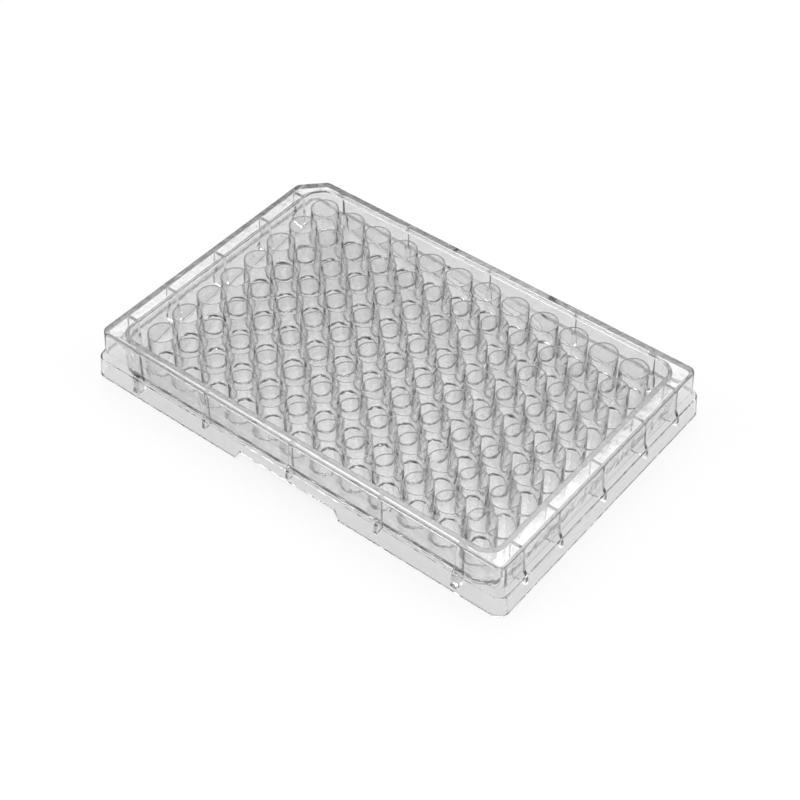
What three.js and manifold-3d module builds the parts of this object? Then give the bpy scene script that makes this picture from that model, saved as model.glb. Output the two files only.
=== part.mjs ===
// Clear 96-well plate with flat-bottomed wells, moulded in one piece of polystyrene.
//
// Millimetres, +Z up. The origin is on the resting plane, at the middle of the footprint.
// +X runs along the long side, from column 1 to column 12, and +Y across it, from row H to row A.
//
// The plate is one thin-walled moulding. An outer skirt with a wide foot flange carries a narrow
// shelf round the top. From the inner edge of the shelf a second wall, the inner frame, drops to a
// flat floor, so that frame and floor make a shallow basin. 96 tapered chimneys stand free on that
// floor, with their rims level with the shelf. Thin ribs tie the skirt to the inner frame.

import * as THREE from 'three';
import { mergeVertices } from 'three/addons/utils/BufferGeometryUtils.js';
import Module from 'manifold-3d';

// ---------------------------------------------------------------------------
// Driving sizes
// ---------------------------------------------------------------------------

const PLATE_HEIGHT = 14.35;

// One well: a chimney that widens towards its foot, round a bore that narrows towards the plate's floor
const BORE_RIM_RADIUS = 3.43;
const BORE_TAPER = 0.23;
const CHIMNEY_RIM_WALL = 0.38;
const CHIMNEY_TAPER = 0.14;
const WELL_FACETS = 12;

// Well array. The gap is the one between the feet of neighbouring chimneys, for a pitch of 9. The
// other two reach from the middles of the outer wells to the footprint, which is 127.76 by 85.48.
const WELL_COLUMNS = 12;
const WELL_ROWS = 8;
const CHIMNEY_GAP = 1.1;
const FIRST_COLUMN_FROM_END = 14.38;
const FIRST_ROW_FROM_SIDE = 11.24;

// Skirt: foot flange, sloped shoulder and upper wall, each leaning inwards as it rises
const SKIRT_WALL = 1.2;
const FLANGE_HEIGHT = 5.8;
const FLANGE_LEAN = 0.58;
const SHOULDER_HEIGHT = 1.9;
const SHOULDER_LEAN = 0.98;
const UPPER_WALL_LEAN = 0.39;
const FLANGE_CORNER_RADIUS = 3.18;
const UPPER_CORNER_RADIUS = 2.2;

// Straight cut across the corner beside well A1, along X and along Y: at the plate's top edge, and
// on the inner face of the frame
const KEY_CUT = [6, 6.2];
const FRAME_KEY_CUT = [3, 3.7];

// Gap in the middle of each long flange, open at the foot
const FLANGE_GAP_FOOT_WIDTH = 32.8;
const FLANGE_GAP_TOP_WIDTH = 29.8;
const FLANGE_GAP_HEIGHT = 2.65;

// Shelf round the top, inner frame and floor
const SHELF_THICKNESS = 1.2;
const SHELF_WIDTH_AT_ENDS = 4.93;
const SHELF_WIDTH_AT_SIDES = 2.79;
const FRAME_WALL = 1.0;
const FRAME_CORNER_RADIUS = 4.2;
const FLOOR_UNDERSIDE_HEIGHT = 2.9;
const FLOOR_THICKNESS = 1.0;
const FRAME_FOOT_BELOW_FLOOR = 0.3;

// Ribs between the skirt and the inner frame, by how many pitches they stand from the middle, and
// one more near each end of the frame. On the long sides those last ones are thicker and deeper.
const RIB_THICKNESS = 0.9;
const RIB_PITCHES_ON_LONG_SIDES = [-3, 0, 3];
const RIB_PITCHES_ON_ENDS = [-2, 0, 2];
const END_RIB_FROM_FRAME_SIDE = 6;
const CORNER_RIB_FROM_FRAME_END = 7;
const CORNER_RIB_THICKNESS = 2;
const CORNER_RIB_FOOT_HEIGHT = 0.9;

// How far one solid runs into, or past, another one that it joins or cuts
const OVERLAP = 0.4;
const CUT_CLEARANCE = 1;

const CORNER_STEPS = 4;

// ---------------------------------------------------------------------------
// Joining and cutting
// ---------------------------------------------------------------------------

const wasm = await Module();
wasm.setup();

function toSolid(geometry) {
  const bare = geometry.clone();
  bare.deleteAttribute('normal');
  bare.deleteAttribute('uv');
  const merged = mergeVertices(bare, 1e-5);
  const mesh = new wasm.Mesh({
    numProp: 3,
    vertProperties: Float32Array.from(merged.attributes.position.array),
    triVerts: Uint32Array.from(merged.index.array),
  });
  return new wasm.Manifold(mesh);
}

function toGeometry(solid) {
  const mesh = solid.getMesh();
  const geometry = new THREE.BufferGeometry();
  geometry.setAttribute('position', new THREE.BufferAttribute(mesh.vertProperties, 3));
  geometry.setIndex(new THREE.BufferAttribute(mesh.triVerts, 1));
  return geometry;
}

function join(solids) {
  let level = solids;
  while (level.length > 1) {
    const next = [];
    for (let i = 0; i < level.length; i += 2) {
      next.push(i + 1 < level.length ? level[i].add(level[i + 1]) : level[i]);
    }
    level = next;
  }
  return level[0];
}

// ---------------------------------------------------------------------------
// Outlines and lofts
// ---------------------------------------------------------------------------

// Points of one rounded corner, from the side that arrives to the side that leaves.
function roundedCorner(before, corner, after, radius, steps) {
  const arriving = corner.clone().sub(before).normalize();
  const leaving = after.clone().sub(corner).normalize();
  const turn = Math.atan2(arriving.cross(leaving), arriving.dot(leaving));
  const tangentLength = radius * Math.tan(turn / 2);
  const start = corner.clone().addScaledVector(arriving, -tangentLength);
  const inward = new THREE.Vector2(-arriving.y, arriving.x);
  const centre = start.clone().addScaledVector(inward, radius);
  const points = [];
  for (let i = 0; i <= steps; i += 1) {
    points.push(start.clone().rotateAround(centre, (turn * i) / steps));
  }
  return points;
}

// Rounded rectangle, anticlockwise, whose A1 corner (low X, high Y) is cut off along a straight line.
// A cut of nothing leaves that corner as round as the others.
function plateOutline(halfLength, halfWidth, radius, cut = [0, 0]) {
  const roundOnly = radius * (2 - Math.SQRT2);
  const alongX = Math.max(cut[0], roundOnly);
  const alongY = Math.max(cut[1], roundOnly);
  const corners = [
    new THREE.Vector2(halfLength, -halfWidth),
    new THREE.Vector2(halfLength, halfWidth),
    new THREE.Vector2(-halfLength + alongX, halfWidth),
    new THREE.Vector2(-halfLength, halfWidth - alongY),
    new THREE.Vector2(-halfLength, -halfWidth),
  ];
  return corners.flatMap((corner, i) => {
    const before = corners[(i + corners.length - 1) % corners.length];
    const after = corners[(i + 1) % corners.length];
    const onCutCorner = i === 2 || i === 3;
    return roundedCorner(before, corner, after, radius, onCutCorner ? CORNER_STEPS / 2 : CORNER_STEPS);
  });
}

// The same cut on an outline that has grown by some amount all round, the cut edge included.
function grownCut([alongX, alongY], grow) {
  const diagonal = Math.hypot(alongX, alongY);
  return [
    alongX + grow * (1 + (alongX - diagonal) / alongY),
    alongY + grow * (1 + (alongY - diagonal) / alongX),
  ];
}

// Closed solid through outlines that all have the same number of points, lowest first.
function loft(sections) {
  const count = sections[0].outline.length;
  const positions = sections.flatMap(({ z, outline }) => outline.flatMap((p) => [p.x, p.y, z]));
  const index = [];
  for (let level = 0; level < sections.length - 1; level += 1) {
    for (let i = 0; i < count; i += 1) {
      const a = level * count + i;
      const b = level * count + ((i + 1) % count);
      index.push(a, b, b + count, a, b + count, a + count);
    }
  }
  const last = (sections.length - 1) * count;
  for (const [a, b, c] of THREE.ShapeUtils.triangulateShape(sections[0].outline, [])) {
    index.push(a, c, b);
    index.push(last + a, last + b, last + c);
  }
  const geometry = new THREE.BufferGeometry();
  geometry.setAttribute('position', new THREE.Float32BufferAttribute(positions, 3));
  geometry.setIndex(index);
  return toSolid(geometry);
}

function prism(outline, low, high) {
  return loft([{ z: low, outline }, { z: high, outline }]);
}

// ---------------------------------------------------------------------------
// Sizes that follow from the driving ones
// ---------------------------------------------------------------------------

const boreFloorRadius = BORE_RIM_RADIUS - BORE_TAPER;
const chimneyRimRadius = BORE_RIM_RADIUS + CHIMNEY_RIM_WALL;
const chimneyFootRadius = chimneyRimRadius + CHIMNEY_TAPER;
const wellPitch = 2 * chimneyFootRadius + CHIMNEY_GAP;

const arrayHalfLength = ((WELL_COLUMNS - 1) * wellPitch) / 2;
const arrayHalfWidth = ((WELL_ROWS - 1) * wellPitch) / 2;
const halfLength = arrayHalfLength + FIRST_COLUMN_FROM_END;
const halfWidth = arrayHalfWidth + FIRST_ROW_FROM_SIDE;

const shoulderTop = FLANGE_HEIGHT + SHOULDER_HEIGHT;
const shoulderInset = FLANGE_LEAN + SHOULDER_LEAN;
const topInset = shoulderInset + UPPER_WALL_LEAN;

const frameHalfLength = halfLength - topInset - SHELF_WIDTH_AT_ENDS;
const frameHalfWidth = halfWidth - topInset - SHELF_WIDTH_AT_SIDES;
const frameFootHeight = FLOOR_UNDERSIDE_HEIGHT - FRAME_FOOT_BELOW_FLOOR;
const floorTop = FLOOR_UNDERSIDE_HEIGHT + FLOOR_THICKNESS;

// ---------------------------------------------------------------------------
// Skirt
// ---------------------------------------------------------------------------

// Outline of the skirt at a given inset from the footprint, with round corners all round.
function flangeOutline(inset) {
  const radius = Math.max(FLANGE_CORNER_RADIUS - inset, 0.5);
  return plateOutline(halfLength - inset, halfWidth - inset, radius);
}

// The same for the upper wall, whose A1 corner is cut off.
function wallOutline(inset) {
  const grow = topInset - inset;
  const radius = Math.max(UPPER_CORNER_RADIUS + grow, 0.5);
  return plateOutline(halfLength - inset, halfWidth - inset, radius, grownCut(KEY_CUT, grow));
}

// Flange and shoulder as one full block, thinner all round by the wall when it is the hollow inside.
function flangeBlock(wall, low, roof) {
  return loft([
    { z: low, outline: flangeOutline(wall) },
    { z: FLANGE_HEIGHT - roof / 2, outline: flangeOutline(FLANGE_LEAN + wall) },
    { z: shoulderTop - roof, outline: flangeOutline(shoulderInset + wall) },
  ]);
}

function upperBlock(wall, low, roof) {
  return loft([
    { z: low, outline: wallOutline(shoulderInset + wall) },
    { z: shoulderTop, outline: wallOutline(shoulderInset + wall) },
    { z: PLATE_HEIGHT - roof, outline: wallOutline(topInset + wall) },
  ]);
}

function makeSkirt() {
  const outside = flangeBlock(0, 0, 0).add(upperBlock(0, FLANGE_HEIGHT, 0));
  const flangeHollow = flangeBlock(SKIRT_WALL, -CUT_CLEARANCE, SKIRT_WALL);
  const upperHollow = upperBlock(SKIRT_WALL, -CUT_CLEARANCE, SHELF_THICKNESS);
  return outside.subtract(flangeHollow.add(upperHollow));
}

// Wedge-ended gap in the foot of one long flange; side is -1 at the front and 1 at the back.
function makeFlangeGap(side) {
  const slope = (FLANGE_GAP_FOOT_WIDTH - FLANGE_GAP_TOP_WIDTH) / (2 * FLANGE_GAP_HEIGHT);
  const halfFoot = FLANGE_GAP_FOOT_WIDTH / 2;
  const profile = new THREE.Shape();
  profile.moveTo(-halfFoot - slope * CUT_CLEARANCE, -CUT_CLEARANCE);
  profile.lineTo(halfFoot + slope * CUT_CLEARANCE, -CUT_CLEARANCE);
  profile.lineTo(FLANGE_GAP_TOP_WIDTH / 2, FLANGE_GAP_HEIGHT);
  profile.lineTo(-FLANGE_GAP_TOP_WIDTH / 2, FLANGE_GAP_HEIGHT);
  profile.closePath();
  const depth = CUT_CLEARANCE + FLANGE_LEAN + SKIRT_WALL + OVERLAP;
  const geometry = new THREE.ExtrudeGeometry(profile, { depth, bevelEnabled: false });
  geometry.rotateX(Math.PI / 2);
  geometry.translate(0, side * (halfWidth + CUT_CLEARANCE - depth / 2) + depth / 2, 0);
  return toSolid(geometry);
}

// ---------------------------------------------------------------------------
// Inner frame and floor
// ---------------------------------------------------------------------------

// Outline of the space inside the frame, or of the frame's outside when it is grown by its wall.
function frameOutline(grow) {
  const radius = FRAME_CORNER_RADIUS + grow;
  const cut = grownCut(FRAME_KEY_CUT, grow);
  return plateOutline(frameHalfLength + grow, frameHalfWidth + grow, radius, cut);
}

function makeFrame() {
  return prism(frameOutline(FRAME_WALL), frameFootHeight, PLATE_HEIGHT);
}

// The basin above the floor, and the shallow hollow below it.
function makeFrameHollows() {
  const basin = prism(frameOutline(0), floorTop, PLATE_HEIGHT + CUT_CLEARANCE);
  const underside = prism(frameOutline(0), frameFootHeight - CUT_CLEARANCE, FLOOR_UNDERSIDE_HEIGHT);
  return basin.add(underside);
}

// ---------------------------------------------------------------------------
// Ribs
// ---------------------------------------------------------------------------

// One rib on the XZ plane, from the middle of the frame wall to the middle of the skirt wall.
function makeRib(frameHalf, plateHalf, thickness, foot) {
  const inner = frameHalf + FRAME_WALL / 2;
  const outer = plateHalf - SKIRT_WALL / 2;
  const top = PLATE_HEIGHT - SHELF_THICKNESS / 2;
  const profile = new THREE.Shape();
  profile.moveTo(inner, foot);
  profile.lineTo(outer - (FLANGE_LEAN * foot) / FLANGE_HEIGHT, foot);
  profile.lineTo(outer - FLANGE_LEAN, FLANGE_HEIGHT);
  profile.lineTo(outer - shoulderInset, shoulderTop);
  profile.lineTo(outer - topInset, top);
  profile.lineTo(inner, top);
  profile.closePath();
  const geometry = new THREE.ExtrudeGeometry(profile, { depth: thickness, bevelEnabled: false });
  geometry.translate(0, 0, -thickness / 2);
  geometry.rotateX(Math.PI / 2);
  return toSolid(geometry);
}

function makeRibs() {
  const endRib = makeRib(frameHalfLength, halfLength, RIB_THICKNESS, frameFootHeight);
  const sideRib = makeRib(frameHalfWidth, halfWidth, RIB_THICKNESS, frameFootHeight);
  const cornerRib = makeRib(frameHalfWidth, halfWidth, CORNER_RIB_THICKNESS, CORNER_RIB_FOOT_HEIGHT);
  const lastEndRib = frameHalfWidth - END_RIB_FROM_FRAME_SIDE;
  const lastSideRib = frameHalfLength - CORNER_RIB_FROM_FRAME_END;
  const onEnds = RIB_PITCHES_ON_ENDS.map((pitches) => pitches * wellPitch);
  const onSides = RIB_PITCHES_ON_LONG_SIDES.map((pitches) => pitches * wellPitch);
  const ribs = [];
  for (const side of [-1, 1]) {
    for (const y of [-lastEndRib, ...onEnds, lastEndRib]) {
      ribs.push(endRib.rotate([0, 0, 90 - 90 * side]).translate([0, y, 0]));
    }
    for (const x of onSides) {
      ribs.push(sideRib.rotate([0, 0, 90 * side]).translate([x, 0, 0]));
    }
    for (const x of [-lastSideRib, lastSideRib]) {
      ribs.push(cornerRib.rotate([0, 0, 90 * side]).translate([x, 0, 0]));
    }
  }
  return join(ribs);
}

// ---------------------------------------------------------------------------
// Wells
// ---------------------------------------------------------------------------

// Tapered round solid on the Z axis. Its facets are set out so that their section has the circle's area.
function taperedRound(lowRadius, low, highRadius, high) {
  const step = (2 * Math.PI) / WELL_FACETS;
  const sameArea = Math.sqrt(step / Math.sin(step));
  const profile = [
    new THREE.Vector2(0, low),
    new THREE.Vector2(lowRadius * sameArea, low),
    new THREE.Vector2(highRadius * sameArea, high),
    new THREE.Vector2(0, high),
  ];
  const geometry = new THREE.LatheGeometry(profile, WELL_FACETS);
  geometry.rotateX(Math.PI / 2);
  return toSolid(geometry);
}

function makeChimney() {
  return taperedRound(chimneyFootRadius, floorTop - OVERLAP, chimneyRimRadius, PLATE_HEIGHT);
}

function makeBore() {
  const slope = BORE_TAPER / (PLATE_HEIGHT - floorTop);
  const mouthRadius = BORE_RIM_RADIUS + slope * CUT_CLEARANCE;
  return taperedRound(boreFloorRadius, floorTop, mouthRadius, PLATE_HEIGHT + CUT_CLEARANCE);
}

// One copy of a solid at every well, as a single solid.
function atEveryWell(solid) {
  const copies = [];
  for (let row = 0; row < WELL_ROWS; row += 1) {
    for (let column = 0; column < WELL_COLUMNS; column += 1) {
      const x = column * wellPitch - arrayHalfLength;
      const y = arrayHalfWidth - row * wellPitch;
      copies.push(solid.translate([x, y, 0]));
    }
  }
  return join(copies);
}

// ---------------------------------------------------------------------------
// The plate
// ---------------------------------------------------------------------------

function makePlate() {
  const shell = makeSkirt().add(makeFrame()).add(makeRibs());
  const open = shell.subtract(makeFrameHollows()).subtract(makeFlangeGap(-1)).subtract(makeFlangeGap(1));
  return open.add(atEveryWell(makeChimney())).subtract(atEveryWell(makeBore()));
}

const clearPolystyrene = new THREE.MeshStandardMaterial({
  color: 0xdfe3e5,
  roughness: 0.08,
  metalness: 0,
  transparent: true,
  opacity: 0.35,
});

const plate = new THREE.Mesh(toGeometry(makePlate()), clearPolystyrene);
plate.name = 'plate';

const wellPlate = new THREE.Group();
wellPlate.add(plate);

export default wellPlate;
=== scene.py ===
# %% [markdown]
# # A clear 96-well plate
# A well plate is a laboratory dish the size of a hand: 8 rows of 12 small cups, moulded in one shot of
# clear polystyrene. This lesson builds its fine mesh in the frame of the plain faceted model, with real
# fillets at every edge, because in a clear plastic it is the edges that are seen.

# %% Load the frame
import math

import bmesh
import bpy
from mathutils import Matrix, Vector


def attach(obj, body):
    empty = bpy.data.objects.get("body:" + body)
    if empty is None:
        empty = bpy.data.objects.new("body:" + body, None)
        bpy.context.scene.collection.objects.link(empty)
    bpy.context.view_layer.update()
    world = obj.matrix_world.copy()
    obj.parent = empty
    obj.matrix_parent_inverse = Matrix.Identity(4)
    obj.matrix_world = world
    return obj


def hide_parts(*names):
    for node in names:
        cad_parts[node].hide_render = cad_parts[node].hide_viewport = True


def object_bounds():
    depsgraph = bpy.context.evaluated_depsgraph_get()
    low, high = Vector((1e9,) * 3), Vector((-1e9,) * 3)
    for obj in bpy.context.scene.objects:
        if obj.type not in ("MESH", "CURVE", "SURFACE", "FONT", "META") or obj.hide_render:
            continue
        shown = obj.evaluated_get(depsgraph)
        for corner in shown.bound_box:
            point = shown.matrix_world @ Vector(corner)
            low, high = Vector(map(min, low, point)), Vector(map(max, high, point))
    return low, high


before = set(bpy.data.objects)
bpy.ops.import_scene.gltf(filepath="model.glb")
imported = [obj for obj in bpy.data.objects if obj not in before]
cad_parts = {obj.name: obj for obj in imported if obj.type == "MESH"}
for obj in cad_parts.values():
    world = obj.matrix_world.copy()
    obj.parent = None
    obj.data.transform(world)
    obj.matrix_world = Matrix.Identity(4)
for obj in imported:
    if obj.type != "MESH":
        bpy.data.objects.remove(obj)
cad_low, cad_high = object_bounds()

print("frame box", tuple(cad_low), tuple(cad_high))

# %% [markdown]
# ## The overall box
# Length, width and height could be typed in here too, but they are read from the frame, so that the
# fine mesh can never outgrow it. Every other size is what a mould maker would write on the drawing, in
# millimetres, and stands in the cell that needs it first. One factor turns them into metres, which is
# what Blender works in here.

# %% The overall box
MM = 0.001
HALF_LENGTH = cad_high.x / MM
HALF_WIDTH = cad_high.y / MM
HEIGHT = cad_high.z / MM
print("half length, half width, height", HALF_LENGTH, HALF_WIDTH, HEIGHT)

# %% [markdown]
# ## Rounding a drawn section
# A moulded part has no sharp edges. A Bevel modifier could round them at the end, but between walls
# this thin it has no room, and it would also round every seam of the later cuts. So the arcs are drawn
# into the sections. The first helper puts a short arc in the place of one corner. The second walks
# along a section whose corners each carry the radius of their fillet. A radius of nothing keeps the
# corner, and so do the two ends of a section that isn't closed.

# %% Fillets
FILLET_STEPS = 4


def corner_arc(before, corner, after, radius, steps):
    arriving = (corner - before).normalized()
    leaving = (after - corner).normalized()
    turn = -arriving.angle_signed(leaving)
    reach = radius * math.tan(abs(turn) / 2)
    start = corner - arriving * reach
    centre = start + Vector((-arriving.y, arriving.x)) * radius * math.copysign(1, turn)
    points = []
    for k in range(steps + 1):
        spoke = start - centre
        spoke.rotate(Matrix.Rotation(turn * k / steps, 2))
        points.append(centre + spoke)
    return points


def rounded_section(corners, closed=False):
    points = []
    last = len(corners) - 1
    for i, (u, z, radius) in enumerate(corners):
        here = Vector((u, z))
        if radius == 0 or (not closed and i in (0, last)):
            points.append(here)
        else:
            before = Vector(corners[i - 1][:2])
            after = Vector(corners[(i + 1) % len(corners)][:2])
            points += corner_arc(before, here, after, radius, FILLET_STEPS)
    return points


print("a square corner becomes", len(rounded_section([(0, 0, 0), (1, 0, 0.5), (1, 1, 0)])), "points")

# %% [markdown]
# ## Outlines of the plate
# Seen from above every wall is a rounded rectangle. The corner beside well A1 is cut off, so that the
# plate can only go into a reader one way round. Blender could offset one curve for all the walls, but
# each offset would get points of its own. Here a cut smaller than the rounding leaves a plain round
# corner, drawn as two halves. So all outlines have the same number of points, in the same order, and
# any two of them can be joined by a band of faces.

# %% Outlines
CORNER_STEPS = 12


def grown_cut(cut, grow):
    diagonal = math.hypot(*cut)
    return (cut[0] + grow * (1 + (cut[0] - diagonal) / cut[1]),
            cut[1] + grow * (1 + (cut[1] - diagonal) / cut[0]))


def plate_outline(half_length, half_width, radius, cut=(0, 0)):
    round_only = radius * (2 - math.sqrt(2))
    cut_x = max(cut[0], round_only)
    cut_y = max(cut[1], round_only)
    corners = [
        Vector((half_length, -half_width)),
        Vector((half_length, half_width)),
        Vector((-half_length + cut_x, half_width)),
        Vector((-half_length, half_width - cut_y)),
        Vector((-half_length, -half_width)),
    ]
    points = []
    for i, corner in enumerate(corners):
        after = corners[(i + 1) % len(corners)]
        steps = CORNER_STEPS // 2 if i in (2, 3) else CORNER_STEPS
        points += corner_arc(corners[i - 1], corner, after, radius, steps)
    return points


print("an outline has", len(plate_outline(HALF_LENGTH, HALF_WIDTH, 1)), "points")

# %% [markdown]
# ## From a row of outlines to a closed body
# The skirt, shelf and frame are one wall that runs round the plate. A section swept along a curve could
# make it, but a sweep can't change its outline on the way up, and here the cut corner begins above the
# shoulder. So neighbouring outlines are joined by a band of faces, and one large face closes each end.
# The ribs and the cutter of the gaps are made in the same way.

# %% Loft
WELD_DISTANCE = 1e-7


def mesh_object(name, bm):
    mesh = bpy.data.meshes.new(name)
    bm.to_mesh(mesh)
    bm.free()
    piece = bpy.data.objects.new(name, mesh)
    bpy.context.scene.collection.objects.link(piece)
    return piece


def loft(name, rings):
    bm = bmesh.new()
    loops = [[bm.verts.new((x * MM, y * MM, z * MM)) for x, y, z in ring] for ring in rings]
    for below, above in zip(loops, loops[1:]):
        for i in range(len(below)):
            j = (i + 1) % len(below)
            bm.faces.new((below[i], below[j], above[j], above[i]))
    bm.faces.new(loops[0])
    bm.faces.new(reversed(loops[-1]))
    bmesh.ops.remove_doubles(bm, verts=bm.verts, dist=WELD_DISTANCE)
    bmesh.ops.recalc_face_normals(bm, faces=bm.faces)
    piece = mesh_object(name, bm)
    print(name, len(piece.data.polygons), "faces")
    return piece


print("helpers", mesh_object.__name__, loft.__name__)

# %% [markdown]
# ## The skirt
# The skirt is the stepped wall round the outside: a flange at the foot, which robots grip, a shoulder,
# and a wall up to the top. An inset is a distance in from the outermost side of the foot. The flange
# leans in a little, as a mould needs, and the steps on the inside lie lower than those outside, which
# keeps the wall even. The corner beside A1 is cut only above the shoulder.

# %% The skirt
SKIRT_WALL = 1.2
FLANGE_HEIGHT = 5.8
FLANGE_LEAN = 0.58
FLANGE_FILLET = 0.6
FLANGE_CORNER = 3.18
SHOULDER_TOP = 7.7
SHOULDER_INSET = 1.56
SHOULDER_FILLET = 0.5
INSIDE_STEP_DROP = 0.6
TOP_INSET = 1.95
WALL_CORNER = 4.15
FOOT_EDGE_FILLET = 0.25
KEY_CUT = (6.0, 6.2)
KEY_CUT_ABOVE_SHOULDER = 0.2
print("the skirt moves in by", TOP_INSET, "mm over", HEIGHT, "mm")

# %% [markdown]
# ## Shelf, frame and floor
# From the top of the skirt a shelf runs in to an inner frame, which surrounds the wells and carries
# their common floor above the table. The shelf is wider at the ends than at the sides. Each could be a
# box with a hole, joined to the next, but such joints leave seams that show in a clear plastic. So
# they are only sizes here, and the next step draws them with the skirt as one section.

# %% Shelf, frame and floor
SHELF_THICKNESS = 1.2
SHELF_WIDTH_SIDES = 2.79
SHELF_WIDTH_ENDS = 4.93
SHELF_FILLET = 0.3
FRAME_WALL = 1.0
FRAME_CORNER = 4.2
FRAME_CUT = (3.0, 3.7)
FRAME_FOOT = 2.6
FRAME_FOOT_LIP = 0.1
FLOOR_UNDERSIDE = 2.9
FLOOR_TOP = 3.9
FLOOR_FILLET = 0.35
FLOOR_BORDER = 1.0

shelf_extra = SHELF_WIDTH_ENDS - SHELF_WIDTH_SIDES
frame_inset = TOP_INSET + SHELF_WIDTH_SIDES
frame_begins = TOP_INSET + SKIRT_WALL + SHELF_FILLET
under_shelf = HEIGHT - SHELF_THICKNESS
print("frame inset", frame_inset, "at the sides", frame_inset + shelf_extra, "at the ends")

# %% [markdown]
# ## The section of the moulding
# The list runs like a pencil round the cut wall: from the floor up the inside of the frame, over the
# shelf, down the skirt to its foot, and back up the inside. The first number is the inset, the second
# the height, and the third the fillet, because light bends in every one of them. Each point of the
# section becomes one outline. On the skirt the outline follows the skirt, and further in it follows the
# frame, which has a cut corner of its own.

# %% The section of the moulding
SECTION = [
    (frame_inset + FLOOR_BORDER, FLOOR_TOP, 0),
    (frame_inset, FLOOR_TOP, FLOOR_FILLET),
    (frame_inset, HEIGHT, SHELF_FILLET),
    (TOP_INSET, HEIGHT, SHELF_FILLET),
    (SHOULDER_INSET, SHOULDER_TOP, SHOULDER_FILLET),
    (FLANGE_LEAN, FLANGE_HEIGHT, FLANGE_FILLET),
    (0, 0, FOOT_EDGE_FILLET),
    (SKIRT_WALL, 0, FOOT_EDGE_FILLET),
    (FLANGE_LEAN + SKIRT_WALL, FLANGE_HEIGHT - INSIDE_STEP_DROP, FLANGE_FILLET),
    (SHOULDER_INSET + SKIRT_WALL, SHOULDER_TOP - INSIDE_STEP_DROP, SHOULDER_FILLET),
    (TOP_INSET + SKIRT_WALL, under_shelf, SHELF_FILLET),
    (frame_inset - FRAME_WALL, under_shelf, SHELF_FILLET),
    (frame_inset - FRAME_WALL, FRAME_FOOT, FOOT_EDGE_FILLET),
    (frame_inset + FRAME_FOOT_LIP, FRAME_FOOT, FRAME_FOOT_LIP),
    (frame_inset + FRAME_FOOT_LIP, FLOOR_UNDERSIDE, FRAME_FOOT_LIP),
    (frame_inset + FLOOR_BORDER, FLOOR_UNDERSIDE, 0),
]


def skirt_corner(z):
    along = min(max((z - FLANGE_HEIGHT) / (SHOULDER_TOP - FLANGE_HEIGHT), 0), 1)
    return FLANGE_CORNER + (WALL_CORNER - FLANGE_CORNER) * along


def ring_at(u, z):
    if u > frame_begins:
        grow = frame_inset - u
        cut = grown_cut(FRAME_CUT, grow)
        outline = plate_outline(HALF_LENGTH - u - shelf_extra, HALF_WIDTH - u, FRAME_CORNER + grow, cut)
    else:
        has_cut = z > SHOULDER_TOP + KEY_CUT_ABOVE_SHOULDER
        cut = grown_cut(KEY_CUT, TOP_INSET - u) if has_cut else (0, 0)
        outline = plate_outline(HALF_LENGTH - u, HALF_WIDTH - u, skirt_corner(z) - u, cut)
    return [(p.x, p.y, z) for p in outline]


shell = loft("shell", [ring_at(u, z) for u, z in rounded_section(SECTION)])

# %% [markdown]
# ## Three kinds of rib
# Thin webs tie the skirt to the frame under the shelf: three on each long side, five on each end.
# Beside the corners stand two thicker ones that reach almost to the table. All 20 could be modelled in
# their places, but they are of three kinds, so one of each kind is drawn here, as it stands on the far
# side of the plate, and repeated later. A rib is a flat profile given a thickness. It ends in the
# middle of the walls it joins, so that the union leaves no seam.

# %% One rib of each kind
RIB_THICKNESS = 0.9
RIB_ABOVE_FRAME_FOOT = 0.02
CORNER_RIB_THICKNESS = 2.0
CORNER_RIB_FOOT = 0.9


def make_rib(name, foot, thickness, half_depth, extra=0):
    middle = SKIRT_WALL / 2
    inner = frame_inset - FRAME_WALL / 2 + extra
    top = HEIGHT - SHELF_THICKNESS / 2
    profile = [
        (FLANGE_LEAN * foot / FLANGE_HEIGHT + middle, foot),
        (FLANGE_LEAN + middle, FLANGE_HEIGHT),
        (SHOULDER_INSET + middle, SHOULDER_TOP),
        (TOP_INSET + middle, top),
        (inner, top),
        (inner, foot),
    ]
    sides = (-thickness / 2, thickness / 2)
    return loft(name, [[(x, half_depth - u, z) for u, z in profile] for x in sides])


thin_foot = FRAME_FOOT + RIB_ABOVE_FRAME_FOOT
side_rib = make_rib("side_rib", thin_foot, RIB_THICKNESS, HALF_WIDTH)
corner_rib = make_rib("corner_rib", CORNER_RIB_FOOT, CORNER_RIB_THICKNESS, HALF_WIDTH)
end_rib = make_rib("end_rib", thin_foot, RIB_THICKNESS, HALF_LENGTH, shelf_extra)

# %% [markdown]
# ## Gaps in the long flanges
# A long shallow gap is cut in the foot of each long side, where a fingertip gets under the plate. A
# plain wedge could cut it, but the sharp edges it leaves shine as ragged white lines in clear plastic.
# So the cutter flares near both faces of the wall, and leaves rounded edges. It is a row of outlines,
# from outside the wall to just inside it, each grown by its flare. The flare starts a hair outside the
# skin, because surfaces that cross are cut more cleanly than surfaces that only touch.

# %% Gaps in the long flanges
GAP_FOOT_WIDTH = 32.8
GAP_TOP_WIDTH = 29.8
GAP_HEIGHT = 2.65
GAP_ROUND = 0.2
GAP_CORNER = 0.6
GAP_PAST_INSIDE = 0.3
SKIN_CROSSING = 0.01
CUT_CLEARANCE = 1.0


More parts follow.
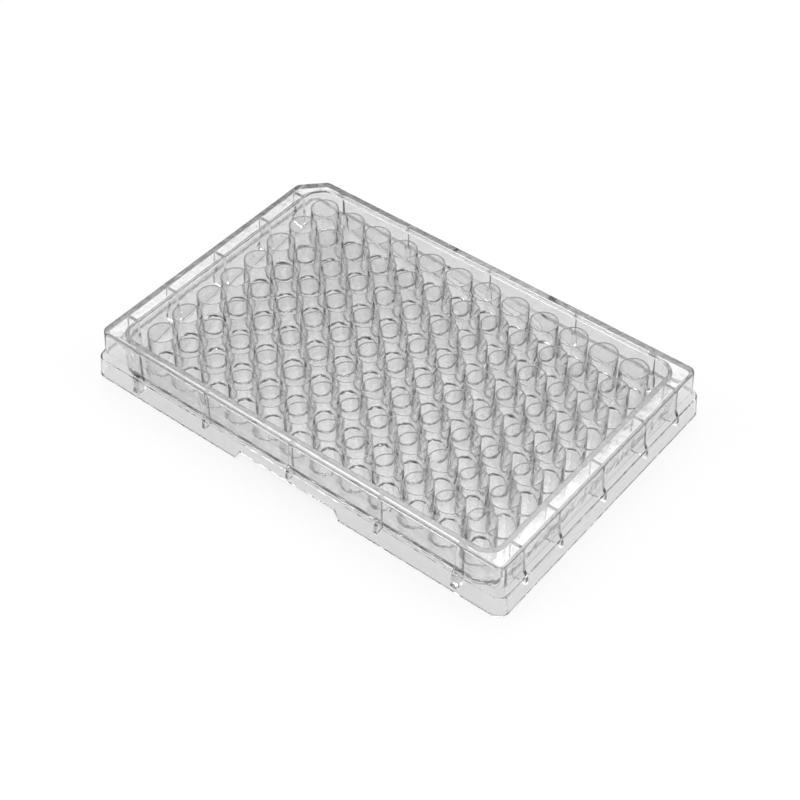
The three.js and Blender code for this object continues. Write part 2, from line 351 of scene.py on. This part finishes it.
def gap_outline(depth, grow):
    slope = (GAP_FOOT_WIDTH - GAP_TOP_WIDTH) / (2 * GAP_HEIGHT)
    lean = math.hypot(1, slope)
    foot = GAP_FOOT_WIDTH / 2 + slope * CUT_CLEARANCE + grow * lean
    top = GAP_TOP_WIDTH / 2 + grow * (lean - slope)
    height = GAP_HEIGHT + grow
    profile = rounded_section([
        (-foot, -CUT_CLEARANCE, 0),
        (foot, -CUT_CLEARANCE, 0),
        (top, height, GAP_CORNER + grow),
        (-top, height, GAP_CORNER + grow),
    ], closed=True)
    outline = []
    for u, z in profile:
        outside = FLANGE_LEAN * z / FLANGE_HEIGHT
        inside = SKIRT_WALL + FLANGE_LEAN * z / (FLANGE_HEIGHT - INSIDE_STEP_DROP)
        outline.append((u, HALF_WIDTH - outside - (inside - outside) * depth / SKIRT_WALL, z))
    return outline


flare = []
for k in range(FILLET_STEPS + 1):
    turn = math.pi / 2 * k / FILLET_STEPS
    flare.append((GAP_ROUND * (1 - math.cos(turn)) - SKIN_CROSSING, GAP_ROUND * (1 - math.sin(turn))))
stations = [(-CUT_CLEARANCE, GAP_ROUND)] + flare
stations += [(SKIRT_WALL - depth, grow) for depth, grow in reversed(flare)]
stations += [(SKIRT_WALL + GAP_PAST_INSIDE, GAP_ROUND)]
gap = loft("gap", [gap_outline(depth, grow) for depth, grow in stations])

# %% [markdown]
# ## Turning a shape
# A well is round in every level section. A Screw modifier could spin its profile, but it starts with a
# copy of each point on the axis for every step, and a clean cut needs one. This helper spins a profile
# of radius and height as a lathe does, and uses a single point wherever the profile meets the axis.

# %% Lathe
WELL_SEGMENTS = 40


def lathe(name, profile):
    bm = bmesh.new()
    angles = [2 * math.pi * k / WELL_SEGMENTS for k in range(WELL_SEGMENTS)]
    loops = []
    for r, z in profile:
        if r == 0:
            loops.append([bm.verts.new((0, 0, z * MM))] * WELL_SEGMENTS)
        else:
            circle = [(r * MM * math.cos(a), r * MM * math.sin(a), z * MM) for a in angles]
            loops.append([bm.verts.new(point) for point in circle])
    for below, above in zip(loops, loops[1:]):
        for i in range(WELL_SEGMENTS):
            j = (i + 1) % WELL_SEGMENTS
            bm.faces.new(dict.fromkeys((below[i], below[j], above[j], above[i])))
    bmesh.ops.recalc_face_normals(bm, faces=bm.faces)
    piece = mesh_object(name, bm)
    print(name, len(piece.data.polygons), "faces")
    return piece


print("helper", lathe.__name__, "with", WELL_SEGMENTS, "facets round")

# %% [markdown]
# ## One well
# A well is a thin chimney that stands on the floor of the plate, with a flat-bottomed bore in it. The
# wall is thicker at the foot than at the rim, because a moulded cup needs draft to leave the tool. It
# could be one hollow shape, but then the bottom of its bore would lie exactly in the top of the floor,
# and surfaces that only touch are joined badly. So chimney and bore are two full bodies: the chimneys
# are sunk a little in the floor and added first, and the bores are cut last.

# %% One well
BORE_RIM = 3.43
BORE_FLOOR = 3.2
BORE_FILLET = 0.3
BORE_BEVEL = 0.12
BEVEL_LIFT = 0.02
RIM_WALL = 0.38
RIM_ROUND = 0.15
FOOT_WALL = 0.75
FOOT_FILLET = 0.35
FOOT_SINK = 0.015
BASE_MARGIN = 0.1
BASE_DEPTH = 0.4

foot_radius = BORE_FLOOR + FOOT_WALL
base_radius = foot_radius + FOOT_FILLET + BASE_MARGIN
chimney = lathe("chimney", rounded_section([
    (0, FLOOR_TOP - BASE_DEPTH, 0),
    (base_radius, FLOOR_TOP - BASE_DEPTH, 0),
    (base_radius, FLOOR_TOP - FOOT_SINK, 0),
    (foot_radius, FLOOR_TOP - FOOT_SINK, FOOT_FILLET),
    (BORE_RIM + RIM_WALL, HEIGHT, RIM_ROUND),
    (0, HEIGHT, 0),
]))
bore_taper = (BORE_RIM - BORE_FLOOR) / (HEIGHT - FLOOR_TOP)
bore = lathe("bore", rounded_section([
    (0, FLOOR_TOP, 0),
    (BORE_FLOOR, FLOOR_TOP, BORE_FILLET),
    (BORE_RIM - BORE_BEVEL * bore_taper, HEIGHT - BORE_BEVEL, 0),
    (BORE_RIM + BORE_BEVEL, HEIGHT + BEVEL_LIFT, 0),
    (BORE_RIM + BORE_BEVEL, HEIGHT + CUT_CLEARANCE, 0),
    (0, HEIGHT + CUT_CLEARANCE, 0),
]))

# %% [markdown]
# ## Wiring nodes
# The plastic, the array of wells, the table and the light are all made of nodes. In plain Python every
# socket takes a line of its own, and the wiring is hard to see among them. So there are two helpers: one
# sets or links the inputs of a node, and the other makes a node with all that it needs.

# %% Wiring nodes
def set_inputs(tree, target, inputs):
    for name, value in inputs.items():
        if isinstance(value, bpy.types.NodeSocket):
            tree.links.new(value, target.inputs[name])
        else:
            target.inputs[name].default_value = value


def node(tree, kind, inputs=None, **settings):
    made = tree.nodes.new(kind)
    for key, value in settings.items():
        setattr(made, key, value)
    set_inputs(tree, made, inputs or {})
    return made


print("helpers", set_inputs.__name__, node.__name__)

# %% [markdown]
# ## Clear polystyrene
# The plastic is clear and hard, with a high index of refraction. A Glass shader alone could be used,
# but it looks like a drawing of glass, so three things are added. The plastic swallows a little light
# on the way, so that a wall seen edge on is greyer than a wall seen through. The melt left a slight
# waviness on the skin, which a bump gives. And the polish of the tool isn't even, so the roughness
# drifts between two small values.

# %% Clear polystyrene
PLASTIC_COLOUR = (0.96, 0.96, 0.96, 1)
PLASTIC_IOR = 1.59
CLEAR_GREY = (0.8, 0.8, 0.8, 1)
GREY_PER_METRE = 300.0
POLISH = (0.012, 0.05)
POLISH_NOISE = (0.35, 0.7)
POLISH_PATCHES_PER_METRE = 90
WAVES_PER_METRE = 420
WAVE_HEIGHT = 0.00006


def make_clear_polystyrene():
    material = bpy.data.materials.new("moulded_polystyrene")
    material.use_nodes = True
    tree = material.node_tree
    place = node(tree, "ShaderNodeTexCoord").outputs["Object"]
    patches = node(tree, "ShaderNodeTexNoise", {
        "Vector": place,
        "Scale": POLISH_PATCHES_PER_METRE,
        "Detail": 3,
    })
    haze = node(tree, "ShaderNodeMapRange", {
        "Value": patches.outputs["Fac"],
        "From Min": POLISH_NOISE[0],
        "From Max": POLISH_NOISE[1],
        "To Min": POLISH[0],
        "To Max": POLISH[1],
    })
    waves = node(tree, "ShaderNodeTexNoise", {"Vector": place, "Scale": WAVES_PER_METRE, "Detail": 1})
    skin = node(tree, "ShaderNodeBump", {"Height": waves.outputs["Fac"], "Distance": WAVE_HEIGHT})
    set_inputs(tree, tree.nodes["Principled BSDF"], {
        "Base Color": PLASTIC_COLOUR,
        "IOR": PLASTIC_IOR,
        "Transmission Weight": 1,
        "Roughness": haze.outputs["Result"],
        "Normal": skin.outputs["Normal"],
    })
    grey = node(tree, "ShaderNodeVolumeAbsorption", {"Color": CLEAR_GREY, "Density": GREY_PER_METRE})
    set_inputs(tree, tree.nodes["Material Output"], {"Volume": grey.outputs["Volume"]})
    return material


clear_polystyrene = make_clear_polystyrene()
print("material", clear_polystyrene.name, len(clear_polystyrene.node_tree.nodes), "nodes")

# %% [markdown]
# ## Tools for what repeats
# 96 wells, 20 ribs and two gaps are copies of six small shapes. Array modifiers could repeat them, but
# each would be an object of its own, in a stack whose order is easily lost. Geometry Nodes hold the
# copies and the cuts in one tree. These helpers each add one step to such a tree: a row of copies, the
# same copies on the opposite side, a join, or a cut. The Manifold solver keeps the result one closed
# body.

# %% Geometry Nodes: the tools
def math_of(tree, operation, a, b):
    return node(tree, "ShaderNodeMath", {0: a, 1: b}, operation=operation).outputs[0]


def realized(tree, geometry):
    return node(tree, "GeometryNodeRealizeInstances", {"Geometry": geometry}).outputs["Geometry"]


def shape(tree, given_object):
    return node(tree, "GeometryNodeObjectInfo", {"Object": given_object}).outputs["Geometry"]


def copies_on(tree, points, given_object):
    one = shape(tree, given_object)
    copies = node(tree, "GeometryNodeInstanceOnPoints", {"Points": points, "Instance": one})
    return realized(tree, copies.outputs["Instances"])


def row_of(tree, given_object, spacing, count):
    first = math_of(tree, "MULTIPLY", spacing, -(count - 1) / 2)
    line = node(tree, "GeometryNodeMeshLine", {
        "Count": count,
        "Start Location": node(tree, "ShaderNodeCombineXYZ", {"X": first}).outputs["Vector"],
        "Offset": node(tree, "ShaderNodeCombineXYZ", {"X": spacing}).outputs["Vector"],
    })
    return copies_on(tree, line.outputs["Mesh"], given_object)


def on_two_sides(tree, geometry, degrees=0):
    sides = []
    for turn in (degrees, degrees + 180):
        rotation = (0, 0, math.radians(turn))
        made = node(tree, "GeometryNodeTransform", {"Geometry": geometry, "Rotation": rotation})
        sides.append(made.outputs["Geometry"])
    return sides


def join(tree, pieces):
    made = node(tree, "GeometryNodeJoinGeometry")
    for piece in pieces:
        tree.links.new(piece, made.inputs["Geometry"])
    return made.outputs["Geometry"]


def boolean(tree, operation, first, second):
    made = node(tree, "GeometryNodeMeshBoolean", operation=operation, solver="MANIFOLD")
    tree.links.new(first, made.inputs["Mesh 1" if operation == "DIFFERENCE" else "Mesh 2"])
    tree.links.new(second, made.inputs["Mesh 2"])
    return made.outputs["Mesh"]


print("tools", copies_on.__name__, row_of.__name__, on_two_sides.__name__, join.__name__, boolean.__name__)

# %% [markdown]
# ## The tree of the plate
# A grid of points carries the chimneys and the bores, and short lines of points carry the ribs. Each
# row of ribs is given by its rib, its spacing, their number and its turn in degrees, and is used twice,
# for the two opposite sides. The tree builds as the tool maker would: add the ribs, cut the gaps, add
# the chimneys, and cut the bores last. The sizes are named inputs of the tree, so another plate is a
# matter of numbers.

# %% Geometry Nodes: the array of wells
COLUMNS = 12
ROWS = 8
PITCH = 9.0
MERGE_DISTANCE = 1e-6
ROWS_OF_RIBS = [
    ("Side rib", "Side rib spacing", 27.0, 3, 0),
    ("Corner rib", "Corner rib spacing", 100.0, 2, 0),
    ("End rib", "End rib spacing", 18.0, 3, 90),
    ("End rib", "Outer end rib spacing", 64.0, 2, 90),
]


def new_input(tree, name, kind, value=None):
    socket = tree.interface.new_socket(name, in_out="INPUT", socket_type="NodeSocket" + kind)
    if value is not None:
        socket.default_value = value


def make_well_array_tree():
    tree = bpy.data.node_groups.new("well_array", "GeometryNodeTree")
    new_input(tree, "Geometry", "Geometry")
    new_input(tree, "Columns", "Int", COLUMNS)
    new_input(tree, "Rows", "Int", ROWS)
    new_input(tree, "Pitch", "Float", PITCH * MM)
    for _, spacing_name, spacing, _, _ in ROWS_OF_RIBS:
        new_input(tree, spacing_name, "Float", spacing * MM)
    for name in ("Side rib", "Corner rib", "End rib", "Gap", "Chimney", "Bore"):
        new_input(tree, name, "Object")
    new_input(tree, "Material", "Material")
    tree.interface.new_socket("Geometry", in_out="OUTPUT", socket_type="NodeSocketGeometry")
    given = node(tree, "NodeGroupInput").outputs

    ribs = []
    for name, spacing_name, _, count, degrees in ROWS_OF_RIBS:
        row = row_of(tree, given[name], given[spacing_name], count)
        ribs += on_two_sides(tree, row, degrees)
    size = {}
    for name in ("Columns", "Rows"):
        steps = math_of(tree, "SUBTRACT", given[name], 1)
        size[name] = math_of(tree, "MULTIPLY", steps, given["Pitch"])
    grid = node(tree, "GeometryNodeMeshGrid", {
        "Size X": size["Columns"],
        "Size Y": size["Rows"],
        "Vertices X": given["Columns"],
        "Vertices Y": given["Rows"],
    }).outputs["Mesh"]
    body = boolean(tree, "UNION", given["Geometry"], join(tree, ribs))
    body = boolean(tree, "DIFFERENCE", body, join(tree, on_two_sides(tree, shape(tree, given["Gap"]))))
    body = boolean(tree, "UNION", body, copies_on(tree, grid, given["Chimney"]))
    body = boolean(tree, "DIFFERENCE", body, copies_on(tree, grid, given["Bore"]))
    merged = node(tree, "GeometryNodeMergeByDistance", {"Geometry": body, "Distance": MERGE_DISTANCE})
    plastic = node(tree, "GeometryNodeSetMaterial", {
        "Geometry": realized(tree, merged.outputs["Geometry"]),
        "Material": given["Material"],
    })
    node(tree, "NodeGroupOutput", {"Geometry": plastic.outputs["Geometry"]})
    return tree


well_array = make_well_array_tree()
print("tree", well_array.name, len(well_array.nodes), "nodes")

# %% [markdown]
# ## Running the tree
# The modifier could stay on the plate, but everything that follows, such as the count of open edges,
# needs the finished mesh. So the tree is run once on the shell, with the six small shapes and the
# plastic as its inputs, and its result is kept as a plain mesh.

# %% Run the tree
def run_tree(host, tree, values):
    modifier = host.modifiers.new(tree.name, "NODES")
    modifier.node_group = tree
    for item in tree.interface.items_tree:
        if item.item_type == "SOCKET" and item.in_out == "INPUT" and item.name in values:
            modifier[item.identifier] = values[item.name]
    bpy.context.view_layer.update()
    graph = bpy.context.evaluated_depsgraph_get()
    mesh = bpy.data.meshes.new_from_object(host.evaluated_get(graph))
    host.modifiers.remove(modifier)
    return mesh


fine_mesh = run_tree(shell, well_array, {
    "Side rib": side_rib,
    "Corner rib": corner_rib,
    "End rib": end_rib,
    "Gap": gap,
    "Chimney": chimney,
    "Bore": bore,
    "Material": clear_polystyrene,
})
print("plate", len(fine_mesh.vertices), "vertices", len(fine_mesh.polygons), "faces")

# %% [markdown]
# ## Shading of the finished mesh
# The fillets and turned walls are only short facets. More facets could hide that, but the mesh would
# grow heavy, so smooth shading carries the light round them. Edges sharper than 35 degrees are kept
# sharp, and the Weighted Normal modifier lets the large flat faces decide the shading next to the small
# ones, so that the shelf and the floor stay flat. The count of open edges must be nothing: light goes
# wrong in a clear body that isn't closed.

# %% Shading of the finished mesh
SHARP_ANGLE = math.radians(35)
CUBIC_CM = 1e6

fine_plate = bpy.data.objects.new("well_plate", fine_mesh)
bpy.context.scene.collection.objects.link(fine_plate)
for helper in (shell, side_rib, corner_rib, end_rib, gap, chimney, bore):
    bpy.data.objects.remove(helper)
fine_mesh.shade_smooth()
fine_mesh.set_sharp_from_angle(angle=SHARP_ANGLE)
weighted = fine_plate.modifiers.new("weighted_normals", "WEIGHTED_NORMAL")
weighted.keep_sharp = True
graph = bpy.context.evaluated_depsgraph_get()
smooth_mesh = bpy.data.meshes.new_from_object(fine_plate.evaluated_get(graph))
fine_plate.modifiers.clear()
fine_plate.data = smooth_mesh

check = bmesh.new()
check.from_mesh(smooth_mesh)
open_edges = sum(1 for e in check.edges if not e.is_manifold)
triangles = sum(len(f.verts) - 2 for f in check.faces)
print("open edges", open_edges, "triangles", triangles, "volume cm3", check.calc_volume() * CUBIC_CM)
check.free()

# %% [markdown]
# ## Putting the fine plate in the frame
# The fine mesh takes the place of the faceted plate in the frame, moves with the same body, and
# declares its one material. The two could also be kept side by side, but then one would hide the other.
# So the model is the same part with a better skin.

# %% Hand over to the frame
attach(fine_plate, "root")
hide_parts("plate")
print("replaced", "plate", "by", fine_plate.name)

# %% [markdown]
# ## Camera
# The camera looks down at about 45 degrees over a front corner, with the long side running away to
# the left, through a long lens from less than half a metre. A Track To constraint could aim it, but
# that always keeps it level, and this one is rolled a little. So its axes are worked out from the
# direction of view: level right, level up, and then the roll about the line of sight.

# %% Camera
AZIMUTH, ELEVATION, ROLL = (math.radians(a) for a in (37.802, 45.126, 0.696))
DISTANCE = 431.405
NEAR_CLIP = 0.01
TARGET = Vector((7.032, -7.311, 7.0))
FOCAL = 78.881
SENSOR = 36

forward = Vector((
    -math.sin(AZIMUTH) * math.cos(ELEVATION),
    math.cos(AZIMUTH) * math.cos(ELEVATION),
    -math.sin(ELEVATION),
))
level_right = Vector((math.cos(AZIMUTH), math.sin(AZIMUTH), 0))
level_up = level_right.cross(forward)
right = level_right * math.cos(ROLL) + level_up * math.sin(ROLL)
up = level_up * math.cos(ROLL) - level_right * math.sin(ROLL)
camera_data = bpy.data.cameras.new("camera")
camera_data.lens = FOCAL
camera_data.sensor_width = SENSOR
camera_data.clip_start = NEAR_CLIP
camera = bpy.data.objects.new("camera", camera_data)
bpy.context.scene.collection.objects.link(camera)
turned_to_view = Matrix((right, up, -forward)).transposed().to_4x4()
camera.matrix_world = Matrix.Translation((TARGET - forward * DISTANCE) * MM) @ turned_to_view
bpy.context.scene.camera = camera
print("camera at", [round(v, 3) for v in camera.matrix_world.translation])

# %% [markdown]
# ## A bright white table
# A clear part shows whatever stands behind it, so the table matters as much as the plastic. Strong
# light could make it white, but that would wash out the part too. So it is matt and nearly white, and
# the rays that see it, straight from the camera, mirrored, or bent through the plastic, get a plain
# white glow mixed in. The matt share keeps the shadow: a faint one round the foot, and a deeper one
# under the plate, which is seen through the plastic. The floor lies a hair below the plate, because the
# air between them makes the underside of the foot a mirror, and so a dark line.

# %% Floor
FLOOR_HALF_SIZE = 2.0
FLOOR_COLOUR = (0.9, 0.9, 0.9, 1)
AIR_UNDER_FOOT = 0.00005
GLOW_TO_CAMERA = 0.85
GLOW_THROUGH_PLASTIC = 0.66


def make_floor():
    bm = bmesh.new()
    bmesh.ops.create_grid(bm, x_segments=1, y_segments=1, size=FLOOR_HALF_SIZE)
    floor = mesh_object("floor", bm)
    floor.location.z = -AIR_UNDER_FOOT
    material = bpy.data.materials.new("white_floor")
    material.use_nodes = True
    tree = material.node_tree
    matt = tree.nodes["Principled BSDF"]
    set_inputs(tree, matt, {"Base Color": FLOOR_COLOUR, "Roughness": 0.9, "Specular IOR Level": 0})
    ray = node(tree, "ShaderNodeLightPath").outputs
    bent = node(tree, "ShaderNodeMath", {0: ray["Is Glossy Ray"], 1: ray["Is Transmission Ray"]},
                operation="MAXIMUM")
    through = node(tree, "ShaderNodeMath", {0: bent.outputs[0], 1: GLOW_THROUGH_PLASTIC},
                   operation="MULTIPLY")
    share = node(tree, "ShaderNodeMath", {
        0: ray["Is Camera Ray"],
        1: GLOW_TO_CAMERA,
        2: through.outputs[0],
    }, operation="MULTIPLY_ADD")
    white = node(tree, "ShaderNodeEmission", {"Strength": 1})
    mix = node(tree, "ShaderNodeMixShader", {
        "Fac": share.outputs[0],
        1: matt.outputs["BSDF"],
        2: white.outputs["Emission"],
    })
    set_inputs(tree, tree.nodes["Material Output"], {"Surface": mix.outputs["Shader"]})
    floor.data.materials.append(material)
    return floor


print("floor", tuple(make_floor().dimensions))

# %% [markdown]
# ## Studio light
# Clear plastic is drawn by the edges of what lights it. An even white room would wash the plate out,
# and area lamps would be mirrored as hard rectangles. So the world is a dim room with four soft round
# lights in it: one high behind the plate, one overhead, and one on each side. The rounded edges catch
# them, and the rest stays grey. Each is a disc on the sky, given by its azimuth and elevation, the
# angles at which its soft border begins and ends, and its strength. Together they light a plain surface
# about as brightly as an even white sky would. Low down the room has a white backdrop, which carries on
# the white of the table and fades out between two elevations. The camera itself sees only white.

# %% World
DIM_ROOM = 0.12
BACKDROP_FADE = (10, 20)
SOFT_LIGHTS = [
    ("behind", -38, 58, 8, 22, 4.5),
    ("overhead", 142, 80, 12, 28, 2.4),
    ("left", -128, 32, 15, 33, 2.0),
    ("right", 52, 32, 15, 33, 2.0),
]


def make_world():
    world = bpy.data.worlds.new("studio")
    bpy.context.scene.world = world
    world.use_nodes = True
    tree = world.node_tree
    direction = node(tree, "ShaderNodeTexCoord").outputs["Generated"]
    total = DIM_ROOM
    for name, azimuth, elevation, inner, outer, level in SOFT_LIGHTS:
        across, rise = math.radians(azimuth), math.radians(elevation)
        reach = math.cos(rise)
        toward = (math.sin(across) * reach, math.cos(across) * reach, math.sin(rise))
        facing = node(tree, "ShaderNodeVectorMath", {0: direction, 1: toward}, operation="DOT_PRODUCT")
        disc = node(tree, "ShaderNodeMapRange", {
            "Value": facing.outputs["Value"],
            "From Min": math.cos(math.radians(outer)),
            "From Max": math.cos(math.radians(inner)),
            "To Max": level,
        }, interpolation_type="SMOOTHSTEP", label=name)
        added = node(tree, "ShaderNodeMath", {0: disc.outputs["Result"], 1: total}, operation="ADD")
        total = added.outputs[0]
    backdrop = node(tree, "ShaderNodeMapRange", {
        "Value": node(tree, "ShaderNodeSeparateXYZ", {"Vector": direction}).outputs["Z"],
        "From Min": math.sin(math.radians(BACKDROP_FADE[1])),
        "From Max": math.sin(math.radians(BACKDROP_FADE[0])),
    }, interpolation_type="SMOOTHSTEP", label="backdrop")
    from_camera = node(tree, "ShaderNodeLightPath").outputs["Is Camera Ray"]
    white = node(tree, "ShaderNodeMath", {0: from_camera, 1: backdrop.outputs["Result"]},
                 operation="MAXIMUM")
    strength = node(tree, "ShaderNodeMix", {"Factor": white.outputs[0], "A": total, "B": 1})
    set_inputs(tree, tree.nodes["Background"], {
        "Color": (1, 1, 1, 1),
        "Strength": strength.outputs["Result"],
    })


make_world()
bpy.context.scene.view_settings.view_transform = "Standard"
print("lights", [light[0] for light in SOFT_LIGHTS])

# %% [markdown]
# ## Enough bounces for clear walls
# Inside a thin clear wall a ray is mirrored many times before it gets out, as in a glass fibre. The
# usual dozen bounces could be kept, and would be quicker, but rays given up half way leave black arcs at
# the feet of the wells.

# %% Light bounces
WALL_BOUNCES = 32
GLOSSY_BOUNCES = 16

cycles = bpy.context.scene.cycles
cycles.max_bounces = WALL_BOUNCES
cycles.transmission_bounces = WALL_BOUNCES
cycles.glossy_bounces = GLOSSY_BOUNCES
print("bounces", cycles.max_bounces)
